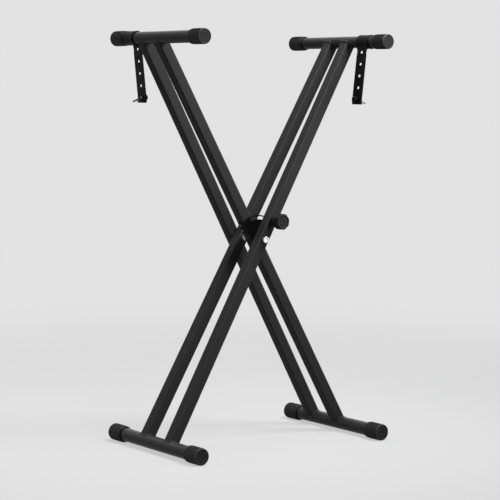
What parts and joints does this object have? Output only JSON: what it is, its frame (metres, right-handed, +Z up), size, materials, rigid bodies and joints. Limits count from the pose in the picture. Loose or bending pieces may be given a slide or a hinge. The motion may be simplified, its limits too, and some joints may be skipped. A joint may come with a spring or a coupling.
{
  "type": "double x keyboard stand",
  "caption": "Folding stand of two paired-brace steel frames crossing on pivot bolts, with capped arms and feet, a slotted locking plate, a clamp knob and rubber retaining straps.",
  "frame": {"origin": "on the floor, midway between the four foot caps", "axes": "+Z up, +Y from the clamp knob's side to the back, +X to the right as seen from the knob's side"},
  "size_m": [0.5096, 0.33, 0.8747],
  "materials": {
    "powder_coat": "black semi-matte powder coat on steel",
    "cap_rubber": "matte black rubber",
    "strap_rubber": "smooth black rubber",
    "peg_plastic": "grey moulded plastic",
    "zinc": "bright zinc plated steel",
    "knob_plastic": "black moulded plastic",
    "nylon": "black nylon"
  },
  "bodies": {
    "frame_a": {"frame_a_arm_tube": "powder_coat", "frame_a_foot_tube": "powder_coat", "frame_a_front_brace": "powder_coat", "frame_a_rear_brace": "powder_coat", "frame_a_arm_cap_front": "cap_rubber", "frame_a_arm_cap_rear": "cap_rubber", "frame_a_foot_cap_front": "cap_rubber", "frame_a_foot_cap_rear": "cap_rubber", "lock_plate": "powder_coat", "lock_rivet_upper": "zinc", "lock_rivet_lower": "zinc", "pivot_spacer_front": "nylon", "pivot_spacer_rear": "nylon", "pivot_bolt_front": "zinc", "pivot_washer_front": "zinc", "pivot_nut_front": "zinc", "pivot_bolt_rear": "zinc", "pivot_washer_rear": "zinc", "pivot_nut_rear": "zinc"},
    "frame_b": {"frame_b_arm_tube": "powder_coat", "frame_b_foot_tube": "powder_coat", "frame_b_front_brace": "powder_coat", "frame_b_rear_brace": "powder_coat", "frame_b_arm_cap_front": "cap_rubber", "frame_b_arm_cap_rear": "cap_rubber", "frame_b_foot_cap_front": "cap_rubber", "frame_b_foot_cap_rear": "cap_rubber", "clamp_bolt": "zinc"},
    "clamp_ring": {"clamp_washer": "zinc"},
    "knob": {"clamp_knob": "knob_plastic", "knob_insert": "zinc"},
    "left_strap": {"strap_left": "strap_rubber", "strap_peg_left": "peg_plastic"},
    "right_strap": {"strap_right": "strap_rubber", "strap_peg_right": "peg_plastic"}
  },
  "joints": [
    {"name": "frame_hinge", "type": "hinge", "parent": "frame_a", "child": "frame_b", "pos_m": [0, 0, 0.43834], "axis": [0, 1, 0], "range_deg": [-50, 3]},
    {"name": "clamp_back_off", "type": "slide", "parent": "frame_b", "child": "clamp_ring", "axis": [0, -1, 0], "range_m": [0, 0.0015]},
    {"name": "knob_turn", "type": "hinge", "parent": "clamp_ring", "child": "knob", "pos_m": [0.02209, 0, 0.47754], "axis": [0, -1, 0], "range_deg": [0, 540]},
    {"name": "strap_swing_left", "type": "hinge", "parent": "frame_a", "child": "left_strap", "pos_m": [-0.23686, 0, 0.8587], "axis": [0, 1, 0], "range_deg": [-60, 160]},
    {"name": "strap_swing_right", "type": "hinge", "parent": "frame_b", "child": "right_strap", "pos_m": [0.23686, 0, 0.8587], "axis": [0, 1, 0], "range_deg": [-160, 60]}
  ],
  "couplings": [
    {"joint": "knob_turn", "follows": "clamp_back_off", "rad_per_m": 6283.2}
  ]
}
